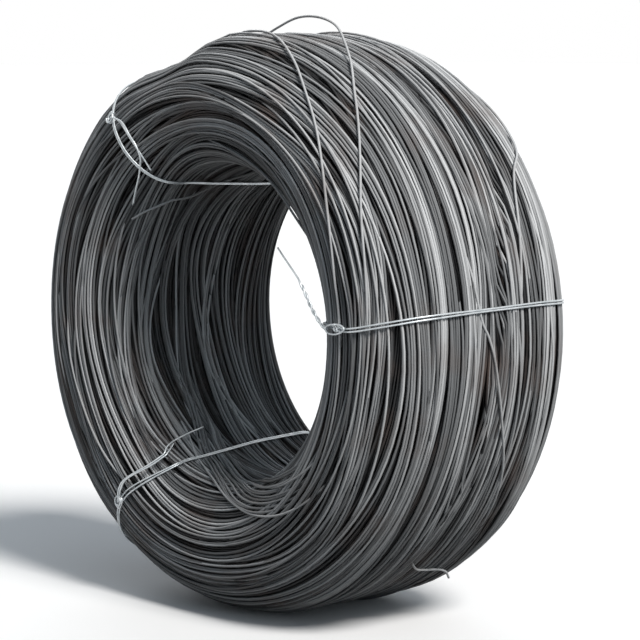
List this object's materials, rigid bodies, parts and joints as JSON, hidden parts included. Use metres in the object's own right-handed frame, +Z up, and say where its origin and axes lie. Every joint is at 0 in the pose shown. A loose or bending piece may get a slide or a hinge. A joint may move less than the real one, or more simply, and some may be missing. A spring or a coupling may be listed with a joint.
{
  "type": "coil of wire rod",
  "caption": "Ring-shaped coil of steel wire rod lying on its side, with rounded ends and an open bore, bound by doubled tie wires; raw stock for drawing, straightening or cutting.",
  "frame": {"origin": "middle of the bore, on the coil's axis, half way along its length", "axes": "+Y along the coil's axis from the near mouth to the far one, +Z up as the coil lies on a floor, +X to the right of someone who looks into the near mouth"},
  "size_m": [1.2509, 0.5863, 1.2496],
  "materials": {
    "wire_rod": "dark mill scale, dull sheen, traces of rust",
    "tie_wire": "bright galvanised"
  },
  "bodies": {
    "root": {"wire_coil": "wire_rod", "tie_wire_upper_left": "tie_wire", "tie_wire_lower_left": "tie_wire", "tie_wire_right": "tie_wire"}
  },
  "joints": []
}
